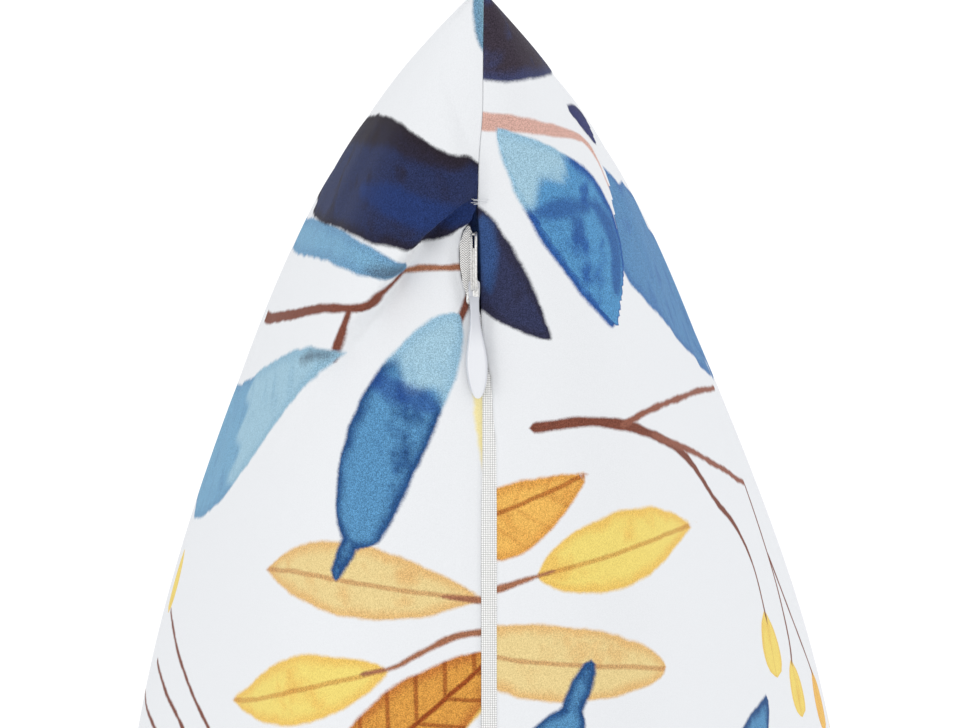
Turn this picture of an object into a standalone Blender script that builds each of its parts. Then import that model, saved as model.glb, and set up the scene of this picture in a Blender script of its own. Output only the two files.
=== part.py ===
"""Throw cushion of 45 by 45 cm, filled and crowned, lying on its back, with a concealed zip.

Sizes below are in millimetres and the meshes are made in metres, with +Z up. The origin is on the
resting surface, under the middle. The zip edge faces -Y. Along that edge s is the distance from
the corner tip at +X, and z is the height above the seam's plane. Over a panel, b is the distance
inwards along the cloth from the zip edge, and out is the distance in front of the zip edge.
"""

import math

import bmesh
import bpy
import numpy as np

MM = 0.001

# Outline: the corners stand out as ears and the sides are drawn in between them
CORNER_REACH = 217.0
SIDE_REACH = 200.0
SIDE_POWER = 2.5

# Crown of each panel over the seam's plane: its swell, its power at the seam and the power's gain
CROWN = {
    "top": {"swell": 88.5, "edge_power": 0.458, "power_gain": 0.585},
    "under": {"swell": 94.0, "edge_power": 0.493, "power_gain": 0.78},
}
SOFT_LIMIT = 88.0
SOFT_POWER = 6
ZIP_SIDE_FULLNESS = 0.14  # the filling stands fuller behind the stiff zip edge than at the others
ZIP_SIDE_FADE = 6  # power by which that fades towards the corners
SEAM_HEIGHT = 77.5  # of the seam's plane over the resting surface; the under panel is flat there

# Grid of the panels, as stretches of (start, end, cells) from the +X tip and from the zip edge
STRETCHES_FROM_TIP = [
    (8.0, 42.0, 8),
    (42.0, 66.0, 8),
    (66.0, 80.0, 2),
    (80.0, 140.0, 8),
    (140.0, 330.0, 11),
    (330.0, 386.0, 4),
    (386.0, 394.0, 2),
]
STRETCHES_FROM_ZIP = [(6.0, 60.0, 11), (60.0, 150.0, 9), (150.0, 350.0, 12), (350.0, 400.0, 4)]
TIP_RIM, TIP_CELLS = 8.0, 4
ZIP_RIM, ZIP_CELLS = 6.0, 5
FAR_CELLS = 5

# Sewn seam all round
SEAM_GAP = 0.8
SEAM_DEPTH = 1.0
TIP_FADE = 9.0
FLOOR_SHARE = 0.9  # width of a groove's floor over its mouth
LIP_FADE = 9.0  # over this distance a panel comes back from its lip to its crown

# Zip opening: lip of the top panel, lip of the under panel and depth, at distances s
OPENING_COLUMNS = ("s", "top_lip", "under_lip", "depth")
OPENING = [
    (0.0, -0.3, -1.1, 0.2),
    (9.0, -0.3, -1.1, 1.0),
    (21.0, -0.2, -1.0, 1.0),
    (36.0, 0.8, 0.0, 1.0),
    (42.0, 0.9, 0.1, 1.2),
    (45.0, 3.2, -0.2, 4.0),
    (48.0, 4.2, -0.3, 4.5),
    (54.0, 4.0, -0.3, 4.5),
    (57.0, 3.4, -0.3, 4.5),
    (60.0, 2.6, -0.5, 4.4),
    (63.0, 1.8, -1.0, 4.0),
    (66.0, 0.9, -1.8, 3.4),
    (72.0, 0.0, -2.35, 2.3),
    (80.0, -0.15, -2.35, 2.0),
    (386.0, -0.15, -2.35, 2.0),
    (391.0, 0.2, -0.6, 1.0),
    (425.0, 0.0, -0.8, 1.0),
    (434.0, 0.0, -0.8, 0.2),
]

# Woven zip tape in that opening: its top side, its under side and how deep its face lies
TAPE_COLUMNS = ("s", "top", "under", "recess")
TAPE = [
    (45.8, 2.6, 1.9, 1.6),
    (47.0, 3.3, 1.9, 0.7),
    (48.5, 3.7, 1.9, 0.4),
    (52.0, 3.6, 1.9, 0.4),
    (55.0, 3.2, 1.9, 1.3),
    (57.6, 2.7, 1.9, 2.05),
    (60.0, 2.0, 0.6, 2.05),
    (62.5, 1.3, -0.3, 1.7),
    (66.0, 0.4, -1.3, 1.3),
    (72.0, -0.4, -1.9, 0.6),
    (80.0, -0.47, -1.97, 0.3),
    (385.0, -0.47, -1.97, 0.3),
]
TAPE_THICKNESS = 1.2
TAPE_CROWN = 0.2
TAPE_STEP = 9.0

# Slider and pull of the zip, placed from the slider's lower foot
HARDWARE_S = 57.0
SLIDER_Z = 1.1
BODY_SIZE = (11.2, 1.0, 1.8)  # along s, across and deep
BODY_OUT = -2.2
CHAMFER_SHARE = 0.35  # of a block's smaller half-side
END_SHARE = 0.75  # a block's ends are drawn in to this share
BRIDGE_LENGTH = 10.6
BRIDGE_WIDTH = 0.7
BRIDGE_BAR = 0.6
BRIDGE_OUT = 1.7
BRIDGE_FOOT = -2.2
BRIDGE_POWER = 0.32
BRIDGE_STEPS = 16
LUG_SIZE = (2.6, 1.0, 1.2)
LUG_PLACE = (1.0, 0.75, -0.9)  # from the lower foot: along s, across and out
EYE_HOLE_START = -1.3
EYE_HOLE_END = 0.75
EYE_HOLE_WIDTH = 1.3

# Pull: half-width, half-thickness, middle's distance out and middle's drift, along its length
PULL_COLUMNS = ("s", "half_width", "half_thick", "out", "z")
PULL = [
    (-2.0, 0.70, 0.15, 0.25, 1.10),
    (-1.85, 0.95, 0.25, 0.25, 1.10),
    (-1.3, 1.12, 0.25, 0.25, 1.10),
    (0.8, 1.12, 0.25, 0.30, 1.10),
    (1.6, 1.00, 0.40, 0.70, 1.10),
    (2.6, 0.92, 0.60, 1.05, 1.05),
    (4.5, 0.92, 0.70, 1.15, 0.98),
    (6.8, 1.10, 0.75, 1.20, 0.90),
    (9.2, 1.50, 0.80, 1.25, 0.80),
    (11.6, 1.90, 0.82, 1.25, 0.70),
    (14.0, 2.05, 0.84, 1.25, 0.60),
    (16.4, 1.90, 0.84, 1.25, 0.50),
    (18.4, 1.50, 0.78, 1.25, 0.44),
    (19.7, 0.95, 0.62, 1.20, 0.40),
    (20.3, 0.45, 0.35, 1.15, 0.38),
]
PULL_SIDES = 16
PULL_SQUARENESS = 2.6

# Folds: each is a crest or a trough along a bent line over a panel, from (s, b) to (s, b)
FOLD_COLUMNS = ("face", "start", "bend", "end", "height", "near", "far")
FOLDS = [
    ("top", (42.0, -2.0), (57.0, 17.0), (92.0, 82.0), 3.6, 3.5, 14.0),
    ("top", (36.0, 4.0), (48.0, 23.0), (80.0, 78.0), -3.8, 9.0, 4.5),
    ("under", (3.0, 78.0), (24.0, 78.0), (58.0, 60.0), -6.0, 13.0, 12.0),
    ("under", (8.0, 44.0), (24.0, 46.0), (46.0, 42.0), 1.2, 12.0, 12.0),
    ("top", (380.0, 0.0), (372.0, 40.0), (340.0, 110.0), 2.0, 9.0, 12.0),
    ("top", (330.0, 398.0), (350.0, 370.0), (392.0, 350.0), -2.4, 14.0, 14.0),
    ("under", (350.0, 92.0), (372.0, 70.0), (408.0, 62.0), -2.2, 13.0, 13.0),
    ("top", (70.0, 440.0), (76.0, 400.0), (110.0, 352.0), -2.0, 12.0, 14.0),
]
FOLD_SAMPLES = 40
FOLD_LEAD, FOLD_ROUND = 0.6, 0.8  # powers that put a fold's full height before its middle
FOLD_EASE = 2.0  # folds and puckers come in over this distance from the seam

# Puckers that the seam draws into the panels, across each edge
PUCKER_LENGTH = 47.0
PUCKER_DRIFT, DRIFT_LENGTH = 1.3, 61.0  # the spacing wanders by so much, over such a length
PUCKER_HEIGHT = 0.9
PUCKER_REACH = 26.0
PUCKER_PHASES = {"top": (0.4, 2.1, 4.0, 5.2), "under": (1.3, 3.4, 0.2, 2.7)}


def column_at(rows, columns, name, s):
    """A table's column at distance s, eased between its rows."""
    places = [row[0] for row in rows]
    values = [row[columns.index(name)] for row in rows]
    nth = np.clip(np.searchsorted(places, s, side="right") - 1, 0, len(rows) - 2)
    start, end = np.take(places, nth), np.take(places, nth + 1)
    share = np.clip((s - start) / (end - start), 0.0, 1.0)
    eased = share * share * (3.0 - 2.0 * share)
    return np.take(values, nth) * (1.0 - eased) + np.take(values, nth + 1) * eased


def side_reach(across):
    """Distance from the middle to a side, for a place from -1 to 1 along it."""
    return SIDE_REACH + (CORNER_REACH - SIDE_REACH) * np.abs(across) ** SIDE_POWER


def crown_height(x, y, face):
    """Height of a panel over the seam's plane, for places from -1 to 1."""
    shape = CROWN[face]
    inside = np.clip((1.0 - x * x) * (1.0 - y * y), 0.0, 1.0)
    height = shape["swell"] * inside ** (shape["edge_power"] + shape["power_gain"] * inside)
    fullness = np.where(y < 0.0, ZIP_SIDE_FULLNESS * (1.0 - np.abs(x) ** ZIP_SIDE_FADE), 0.0)
    height *= np.maximum(1.0 - y * y, 1e-9) ** -fullness
    return height * (1.0 + (height / SOFT_LIMIT) ** SOFT_POWER) ** (-1.0 / SOFT_POWER)


def grid_lines(rim, rim_cells, stretches):
    """Places from 0 to twice the corner reach, closer together towards both ends."""
    width = 2.0 * CORNER_REACH
    lines = [rim * (n / rim_cells) ** 2 for n in range(rim_cells)]
    for start, end, cells in stretches:
        lines += [start + (end - start) * n / cells for n in range(cells)]
    last = stretches[-1][1]
    lines += [width - (width - last) * (1.0 - n / FAR_CELLS) ** 2 for n in range(FAR_CELLS + 1)]
    return np.array(lines)


def bent_line(start, bend, end):
    """Points along a quadratic curve."""
    share = np.linspace(0.0, 1.0, FOLD_SAMPLES)[:, None]
    start, bend, end = (np.array(point) for point in (start, bend, end))
    return start * (1 - share) ** 2 + bend * 2 * share * (1 - share) + end * share**2


def fold_heights(s, b, face):
    """Height that the folds add, over arrays of cloth places."""
    total = np.zeros_like(s)
    for row in FOLDS:
        fold = dict(zip(FOLD_COLUMNS, row))
        if fold["face"] != face:
            continue
        line = bent_line(fold["start"], fold["bend"], fold["end"])
        along = np.gradient(line, axis=0)
        gap_s = s[..., None] - line[:, 0]
        gap_b = b[..., None] - line[:, 1]
        nearest = np.argmin(gap_s**2 + gap_b**2, axis=-1)
        pick = np.expand_dims(nearest, -1)
        gap_s = np.take_along_axis(gap_s, pick, -1)[..., 0]
        gap_b = np.take_along_axis(gap_b, pick, -1)[..., 0]
        turn = along[nearest, 0] * gap_b - along[nearest, 1] * gap_s
        width = np.where(turn > 0.0, fold["near"], fold["far"])
        profile = np.exp(-(gap_s**2 + gap_b**2) / width**2)
        share = nearest / (FOLD_SAMPLES - 1)
        total += fold["height"] * profile * np.sin(math.pi * share**FOLD_LEAD) ** FOLD_ROUND
    return total


def pucker_heights(x, y, face):
    """Height that the seam's puckers add, over arrays of places from -1 to 1."""
    total = np.zeros_like(x)
    edges = ((x, 1.0 + y), (y, 1.0 - x), (x, 1.0 - y), (y, 1.0 + x))
    for phase, (along, inwards) in zip(PUCKER_PHASES[face], edges):
        run = along * CORNER_REACH
        depth = inwards * SIDE_REACH / PUCKER_REACH
        drift = PUCKER_DRIFT * np.sin(run / DRIFT_LENGTH + phase)
        wave = np.sin(run * 2.0 * math.pi / PUCKER_LENGTH + phase + drift)
        total += PUCKER_HEIGHT * wave * depth * np.exp(1.0 - depth) * (1.0 - np.abs(along) ** 4)
    return total


def lip_heights(s, on_zip_edge, face):
    """Place of a panel's lip over the seam's plane, along the zip edge or any other."""
    column = "top_lip" if face == "top" else "under_lip"
    plain = SEAM_GAP / 2.0 if face == "top" else -SEAM_GAP / 2.0
    return np.where(on_zip_edge, column_at(OPENING, OPENING_COLUMNS, column, s), plain)


def panel_points(x, y, face):
    """A panel's points in millimetres, with its crown, lips, folds and puckers."""
    sign = 1.0 if face == "top" else -1.0
    places = np.stack(
        [x * side_reach(y), y * side_reach(x), sign * crown_height(x, y, face)], axis=-1
    )
    steps = np.linalg.norm(np.diff(places, axis=1), axis=-1)
    b = np.concatenate([np.zeros((x.shape[0], 1)), np.cumsum(steps, axis=1)], axis=1)
    s = (1.0 - x) * CORNER_REACH

    outwards = np.cross(np.gradient(places, axis=0), np.gradient(places, axis=1)) * sign
    outwards /= np.linalg.norm(outwards, axis=-1)[..., None] + 1e-9
    rim = np.minimum(1.0 - np.abs(x), 1.0 - np.abs(y)) * SIDE_REACH
    ease_in = 1.0 - np.exp(-rim / FOLD_EASE)
    rise = (fold_heights(s, b, face) + pucker_heights(x, y, face)) * ease_in
    places = places + outwards * rise[..., None]

    from_zip = (1.0 + y) * SIDE_REACH
    from_others = np.minimum(1.0 - np.abs(x), 1.0 - y) * SIDE_REACH
    zip_lip = lip_heights(s, True, face) * np.exp(-from_zip / LIP_FADE)
    plain_lip = lip_heights(s, False, face) * np.exp(-from_others / LIP_FADE)
    nearer_zip = from_zip <= from_others
    places[..., 2] += np.where(nearer_zip, zip_lip, plain_lip)
    places[..., 2] = np.maximum(places[..., 2], -SEAM_HEIGHT)
    return places


def rim_walk(columns, rows):
    """Grid places round the rim, from the -X end of the zip edge, each with its inward way."""
    walk = [(i, 0, (0.0, 1.0)) for i in range(columns)]
    walk += [(columns, j, (-1.0, 0.0)) for j in range(rows)]
    walk += [(i, rows, (0.0, -1.0)) for i in range(columns, 0, -1)]
    walk += [(0, j, (1.0, 0.0)) for j in range(rows, 0, -1)]
    return walk


def groove_rings(x, y, columns, rows):
    """The two rings of a groove's floor, for the seam and for the zip opening."""
    upper, lower = [], []
    for i, j, inward in rim_walk(columns, rows):
        on_zip = j == 0
        at_x, at_y = x[i, j], y[i, j]
        s = (1.0 - at_x) * CORNER_REACH
        tip = min(1.0 - abs(at_x), 1.0) if on_zip or j == rows else 1.0 - abs(at_y)
        fade = min(1.0, 0.2 + tip * CORNER_REACH / TIP_FADE)
        depth = SEAM_DEPTH * fade
        if on_zip:
            depth = float(column_at(OPENING, OPENING_COLUMNS, "depth", s))
        top, under = (float(lip_heights(s, on_zip, face)) for face in ("top", "under"))
        middle = (top + under) / 2.0
        half = (top - under) / 2.0 * FLOOR_SHARE
        corner = abs(at_x) == 1.0 and abs(at_y) == 1.0
        way = (-math.copysign(math.sqrt(0.5), at_x), -math.copysign(math.sqrt(0.5), at_y))
        way = way if corner else inward
        place = (at_x * side_reach(at_y) + way[0] * depth, at_y * side_reach(at_x) + way[1] * depth)
        upper.append((*place, middle + half))
        lower.append((*place, middle - half))
    return upper, lower


def new_material(name, colour, roughness, metallic=0.0):
    material = bpy.data.materials.new(name)
    material.use_nodes = True
    shader = material.node_tree.nodes["Principled BSDF"]
    shader.inputs["Base Color"].default_value = (*colour, 1.0)
    shader.inputs["Roughness"].default_value = roughness
    shader.inputs["Metallic"].default_value = metallic
    material.diffuse_color = (*colour, 1.0)
    return material


def add_object(name, mesh, material=None):
    thing = bpy.data.objects.new(name, mesh)
    bpy.context.scene.collection.objects.link(thing)
    if material:
        mesh.materials.append(material)
    return thing


def finish_mesh(name, bm, smooth_angle=40.0):
    bmesh.ops.recalc_face_normals(bm, faces=bm.faces)
    mesh = bpy.data.meshes.new(name)
    bm.to_mesh(mesh)
    bm.free()
    mesh.shade_smooth()
    mesh.set_sharp_from_angle(angle=math.radians(smooth_angle))
    return mesh


def make_cushion():
    """Two crowned panels joined round the rim by the seam's groove and the zip's opening."""
    x_lines = 1.0 - grid_lines(TIP_RIM, TIP_CELLS, STRETCHES_FROM_TIP)[::-1] / CORNER_REACH
    y_lines = grid_lines(ZIP_RIM, ZIP_CELLS, STRETCHES_FROM_ZIP) / CORNER_REACH - 1.0
    x_lines[[0, -1]] = y_lines[[0, -1]] = (-1.0, 1.0)
    x, y = np.meshgrid(x_lines, y_lines, indexing="ij")
    columns, rows = len(x_lines) - 1, len(y_lines) - 1

    bm = bmesh.new()
    grids = {}
    for face in ("top", "under"):
        points = panel_points(x, y, face)
        points[..., 2] += SEAM_HEIGHT
        grids[face] = [[bm.verts.new(point * MM) for point in line] for line in points]
        for i in range(columns):
            for j in range(rows):
                g = grids[face]
                bm.faces.new((g[i][j], g[i + 1][j], g[i + 1][j + 1], g[i][j + 1]))

    floors = []
    for ring in groove_rings(x, y, columns, rows):
        ring = [(px * MM, py * MM, (pz + SEAM_HEIGHT) * MM) for px, py, pz in ring]
        floors.append([bm.verts.new(point) for point in ring])
    walk = rim_walk(columns, rows)
    rims = {face: [grid[i][j] for i, j, _ in walk] for face, grid in grids.items()}
    rings = [rims["top"], *floors, rims["under"]]
    for ring, after in zip(rings, rings[1:]):
        for n in range(len(ring)):
            m = (n + 1) % len(ring)
            bm.faces.new((ring[n], ring[m], after[m], after[n]))

    mesh = finish_mesh("cushion", bm)
    return add_object("cushion", mesh, new_material("printed pile", (0.86, 0.87, 0.89), 0.85))


def edge_place(s, out, z):
    """A point of the zip edge's own frame, in metres: s along it, out in front of it, z up."""
    at_x = 1.0 - s / CORNER_REACH
    rise = (CORNER_REACH - SIDE_REACH) * SIDE_POWER * abs(at_x) ** (SIDE_POWER - 1.0)
    slope = math.copysign(rise / CORNER_REACH, at_x)
    length = math.hypot(1.0, slope)
    away = (-slope / length, -1.0 / length)
    start = (at_x * CORNER_REACH, -float(side_reach(at_x)))
    return (
        (start[0] + away[0] * out) * MM,
        (start[1] + away[1] * out) * MM,
        (z + SEAM_HEIGHT) * MM,
    )


def loft(bm, sections):
    """A closed tube through rings of points."""
    rings = [[bm.verts.new(point) for point in section] for section in sections]
    for ring, after in zip(rings, rings[1:]):
        for n in range(len(ring)):
            m = (n + 1) % len(ring)
            bm.faces.new((ring[n], ring[m], after[m], after[n]))
    bm.faces.new(rings[0])
    bm.faces.new(rings[-1])


def make_zip_tape():
    """The woven ribbon in the opening, swelling beside the slider and diving under its foot."""
    stations = [row[0] for row in TAPE[:-1]]
    middles = [(a + b) / 2.0 for a, b in zip(stations, stations[1:])]
    plain_start, last = stations[-1], TAPE[-1][0]
    plain_steps = round((last - plain_start) / TAPE_STEP)
    plain = [plain_start + (last - plain_start) * n / plain_steps for n in range(1, plain_steps + 1)]
    sections = []
    for s in sorted(stations + middles + plain):
        top, under, recess = (float(column_at(TAPE, TAPE_COLUMNS, c, s)) for c in TAPE_COLUMNS[1:])
        middle, half = (top + under) / 2.0, (top - under) / 2.0
        back = -recess - TAPE_THICKNESS
        ring = [(-recess - TAPE_CROWN, half), (-recess, half / 2.0), (-recess, -half / 2.0)]
        ring += [(-recess - TAPE_CROWN, -half), (back, -half), (back, half)]
        sections.append([edge_place(s, out, middle + z) for out, z in ring])
    bm = bmesh.new()
    loft(bm, sections)
    mesh = finish_mesh("zip_tape", bm)
    return add_object("zip_tape", mesh, new_material("woven tape", (0.80, 0.80, 0.78), 0.9))


def box_in_edge_frame(bm, size, place):
    """A chamfered block in the zip edge's frame: size and place along s, across and out."""
    long, wide, deep = (extent / 2.0 for extent in size)
    chamfer = min(wide, deep) * CHAMFER_SHARE
    quarter = [(wide, deep - chamfer), (wide - chamfer, deep)]
    half = quarter + [(-a, b) for a, b in reversed(quarter)]
    ring = half + [(-a, -b) for a, b in half]
    ends = [(-long, END_SHARE), (-long + chamfer, 1.0), (long - chamfer, 1.0), (long, END_SHARE)]
    along, across, out = place
    sections = []
    for end, share in ends:
        s = HARDWARE_S + along + end
        sections.append(
            [edge_place(s, out + dy * share, SLIDER_Z + across + dz * share) for dz, dy in ring]
        )
    loft(bm, sections)


def bridge_strap(bm):
    """The slider's arched strap, which the pull's eye hangs on."""
    inner, outer = [], []
    for n in range(BRIDGE_STEPS + 1):
        angle = math.pi * n / BRIDGE_STEPS
        for line, shrink in ((outer, 0.0), (inner, BRIDGE_BAR)):
            reach_s = BRIDGE_LENGTH / 2.0 - shrink
            rise = BRIDGE_OUT - BRIDGE_FOOT - shrink
            share = abs(math.cos(angle)) ** BRIDGE_POWER
            along = -math.copysign(share, math.cos(angle)) * reach_s - BRIDGE_LENGTH / 2.0
            line.append((along, BRIDGE_FOOT + math.sin(angle) ** BRIDGE_POWER * rise))
    sections = []
    for (s_out, out_out), (s_in, out_in) in zip(outer, inner):
        corners = [(s_out, out_out, 1), (s_out, out_out, -1), (s_in, out_in, -1), (s_in, out_in, 1)]
        section = []
        for s, out, side in corners:
            section.append(edge_place(HARDWARE_S + s, out, SLIDER_Z + side * BRIDGE_WIDTH / 2.0))
        sections.append(section)
    loft(bm, sections)


def make_zip_slider():
    """The slider's body, its arched strap and the lug at its lower end, joined into one."""
    metal = new_material("slider metal", (0.62, 0.62, 0.60), 0.28, 1.0)
    bm = bmesh.new()
    box_in_edge_frame(bm, BODY_SIZE, (-BRIDGE_LENGTH / 2.0, 0.0, BODY_OUT))
    slider = add_object("zip_slider", finish_mesh("zip_slider", bm), metal)

    bm = bmesh.new()
    bridge_strap(bm)
    strap = add_object("strap", finish_mesh("strap", bm))
    bm = bmesh.new()
    box_in_edge_frame(bm, LUG_SIZE, LUG_PLACE)
    lug = add_object("lug", finish_mesh("lug", bm))
    for helper in (strap, lug):
        helper.hide_render = True
        helper.display_type = "WIRE"
        union = slider.modifiers.new(helper.name, "BOOLEAN")
        union.operation = "UNION"
        union.solver = "EXACT"
        union.object = helper
    return slider


def make_zip_pull():
    """The enamelled teardrop tab, with the eye that hangs on the slider's strap."""
    bm = bmesh.new()
    sections = []
    for row in PULL:
        part = dict(zip(PULL_COLUMNS, row))
        ring = []
        for n in range(PULL_SIDES):
            angle = 2.0 * math.pi * n / PULL_SIDES
            power = 2.0 / PULL_SQUARENESS
            across = math.copysign(abs(math.cos(angle)) ** power, math.cos(angle))
            deep = math.copysign(abs(math.sin(angle)) ** power, math.sin(angle))
            across, deep = across * part["half_width"], deep * part["half_thick"]
            ring.append(edge_place(HARDWARE_S + part["s"], part["out"] + deep, part["z"] + across))
        sections.append(ring)
    loft(bm, sections)
    enamel = new_material("white enamel", (0.80, 0.81, 0.83), 0.12)
    pull = add_object("zip_pull", finish_mesh("zip_pull", bm), enamel)

    bm = bmesh.new()
    length = EYE_HOLE_END - EYE_HOLE_START
    box_in_edge_frame(
        bm, (length, EYE_HOLE_WIDTH, 3.0), ((EYE_HOLE_START + EYE_HOLE_END) / 2.0, 0.0, 0.25)
    )
    hole = add_object("eye_hole", finish_mesh("eye_hole", bm))
    hole.hide_render = True
    hole.display_type = "WIRE"
    cut = pull.modifiers.new("eye", "BOOLEAN")
    cut.operation = "DIFFERENCE"
    cut.solver = "EXACT"
    cut.object = hole
    return pull


def main():
    for thing in list(bpy.data.objects):
        bpy.data.objects.remove(thing, do_unlink=True)
    make_cushion()
    make_zip_tape()
    make_zip_slider()
    make_zip_pull()


main()
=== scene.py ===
"""Looks of the throw cushion: a filled velvet cover with a watercolour leaf print, and its zip.

Sizes are in millimetres and the meshes are made in metres, with +Z up. Along the zip edge s is the
distance from the corner tip at +X. z is the height above the seam's plane, and out is the distance
in front of the zip edge. Over a panel as it was cut, u is the distance from the +X side and v from
the zip edge.
"""

import math

import bmesh
import bpy
import numpy as np
from mathutils import Matrix, Vector


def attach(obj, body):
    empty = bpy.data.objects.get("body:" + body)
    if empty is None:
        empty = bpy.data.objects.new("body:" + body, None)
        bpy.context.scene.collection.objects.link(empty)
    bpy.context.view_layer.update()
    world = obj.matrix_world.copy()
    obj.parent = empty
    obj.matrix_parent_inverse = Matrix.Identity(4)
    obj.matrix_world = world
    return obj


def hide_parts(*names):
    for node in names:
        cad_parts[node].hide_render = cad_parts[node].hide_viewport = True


MM = 0.001
FACES = ("top", "under")

# Outline and crown, as in the solids
CORNER_REACH, SIDE_REACH, SIDE_POWER = 217.0, 200.0, 2.5
CROWN = {"top": (88.5, 0.458, 0.585), "under": (94, 0.493, 0.78)}  # swell, edge power, power gain
SOFT_LIMIT, SOFT_POWER = 88.0, 6
ZIP_SIDE_FULLNESS, ZIP_SIDE_FADE = 0.14, 6
SEAM_HEIGHT, CUT_SIZE = 77.5, 450.0

# Grid of a panel: a rim of cells that widen by a power, then stretches of (start, end, cells)
TIP_RIM = (8, 22, 2.2)
TIP_STRETCHES = [(8, 36, 22), (36, 84, 50), (84, 160, 50), (160, 400, 54)]
ZIP_RIM = (6, 26, 3.1)
ZIP_STRETCHES = [(6, 60, 40), (60, 200, 54), (200, 400, 48)]
FAR_RIM = (34, 20, 2.2)

# Sewn seam all round: the panels roll into it over ROLL_WIDTH, and less at the corner tip
SEAM_GAP, SEAM_DEPTH = 0.5, 1.3
ROLL_WIDTH, ROLL_DEPTH = 1.5, 0.55
ROLL_AT_TIP, ROLL_TIP_REACH = 0.3, 30.0
GROOVE_AT_TIP, GROOVE_RISE = 0.15, 0.12  # share of the depth at the tips, and its rise per mm
GROOVE_SHARES = (0.1, 0.9)  # places of the groove's two floor rings between the lips
LIP_FADE = 11.0

# Zip opening: lips of the top and the under panel, depth, and how far the lips roll in
OPENING_COLUMNS = ("s", "top_lip", "under_lip", "depth", "roll")
OPENING = [
    (0, -0.65, -0.75, 0.2, 0.2), (21, -0.5, -0.6, 0.3, 0.3), (36, 0.4, 0.3, 0.35, 0.3),
    (40.8, 0.58, 0.44, 0.6, 0.4), (43.2, 1.5, 0.3, 3.2, 0.9), (46.2, 3.5, 0.05, 5, 1.5),
    (50, 4.05, -0.1, 5.2, 1.7), (54, 3.7, -0.2, 5.2, 1.7), (58, 2.7, -0.25, 5, 1.5),
    (62, 1.8, -0.3, 4.4, 1.1), (66, 0.9, -0.5, 3.6, 0.8), (70, 0.2, -1.2, 3, 0.6),
    (74, -0.2, -2.1, 2.4, 0.5), (78, -0.38, -2.4, 1.9, 0.45), (88, -0.42, -3.1, 1.75, 0.45),
    (100, -0.2, -3.22, 1.75, 0.45), (120, -0.15, -3.22, 1.75, 0.45), (386, -0.15, -3.22, 1.75, 0.45),
    (391, 0, -0.3, 1.2, 0.4), (425, -0.2, -0.4, 1, 0.4), (434, -0.2, -0.4, 0.6, 0.3),
]

# Rolled fold of each panel: a crest line of (s, v) places, with the fold's height, its lean over the
# valley beyond, the valley's depth, its reach on the near side, over the flank and on the far side,
# and the shares of the line where it starts, is full, begins to fade and ends
ROLLS = {
    "top": (
        [(36.6, -1), (39.8, 6), (47.6, 13.5), (58, 22), (69.5, 36), (88, 66)],
        3.6, 2.6, 2.4, 15, 3.2, 10, (0, 0.1, 0.45, 1),
    ),
    "under": (
        [(60, 98), (50, 64), (40, 47), (31, 38), (24, 31), (17, 24)],
        1.2, 1.5, 3, 13, 3.6, 12, (0.05, 0.4, 0.74, 0.98),
    ),
}
ROLL_SAMPLES, LEAN_BACK = 10, 1.15  # the cloth leans back past the flank

# Soft folds: crests and troughs along bent lines over a panel, with their start, bend and end,
# their height, and their reach on the near and the far side
FOLDS = {
    "top": [
        ((380, 0), (372, 40), (340, 110), 2, 9, 12), ((330, 398), (350, 370), (392, 350), -2.4, 14, 14),
        ((70, 440), (76, 400), (110, 352), -2, 12, 14),
    ],
    "under": [
        ((350, 92), (372, 70), (408, 62), -2.2, 13, 13),
    ],
}
FOLD_SAMPLES, FOLD_LEAD, FOLD_ROUND, FOLD_EASE = 40, 0.6, 0.8, 3.0

# Puckers that the seams draw into the panels: length, height and reach of each kind
PUCKER_KINDS = [(47.0, 0.9, 26.0), (17.0, 0.22, 7.0)]
PUCKER_DRIFT, DRIFT_LENGTH = 1.3, 61.0
PUCKER_AT_TIP = 0.12  # share of the puckers at the corner by the slider
PUCKER_TIP_REACH = (70.0, 190.0)
PUCKER_PHASES = {"top": (0.4, 2.1, 4.0, 5.2), "under": (1.3, 3.4, 0.2, 2.7)}

# Cloth simulation: the cover, cut flat, is filled from inside, and each point moves up to a cap
SIM_CELLS, SIM_FRAMES, SIM_CAP = 72, 26, 6.0
SIM_AT_TIP = 0.1  # share of the moves that the corner by the slider takes, where the folds are set
SIM_TIP_REACH = (190.0, 340.0)
SIM_CLOTH = {
    "quality": 7, "mass": 0.3, "tension_stiffness": 25, "compression_stiffness": 15,
    "shear_stiffness": 8, "bending_stiffness": 1.5, "air_damping": 2, "use_pressure": True,
    "uniform_pressure_force": 4, "vertex_group_mass": "seam",
}

# Woven zip tape in the opening: its top side, its under side and how deep its face lies
TAPE_COLUMNS = ("s", "top", "under", "recess")
TAPE = [
    (45, 2.4, 1.9, 1.6), (46.4, 3.3, 1.5, 0.7), (48.5, 3.9, 1.4, 0.4), (52, 3.8, 1.4, 0.4),
    (55, 3.4, 1.3, 0.9), (57.6, 2.9, 1.2, 1.4), (60, 2.2, 0.4, 1.8), (62.5, 1.7, -0.2, 1.6),
    (66, 0.9, -0.5, 1.3), (70, 0.2, -1.3, 0.9), (74, -0.2, -2.15, 0.5), (78, -0.4, -2.5, 0.3),
    (88, -0.45, -3.2, 0.25), (100, -0.22, -3.32, 0.25), (385, -0.22, -3.32, 0.25),
]
TAPE_THICKNESS, TAPE_CROWN, TAPE_STEP, TAPE_CELLS = 1.2, 0.28, 0.15, 14
WEAVE_PITCH, WEAVE_RELIEF = 0.43, 0.05  # of the threads
CHEVRON_PITCH, CHEVRON_HALF = 0.44, 0.66  # of the twill beside the slider: along it and across
CHEVRON_END = (58.0, 62.0)

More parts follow.
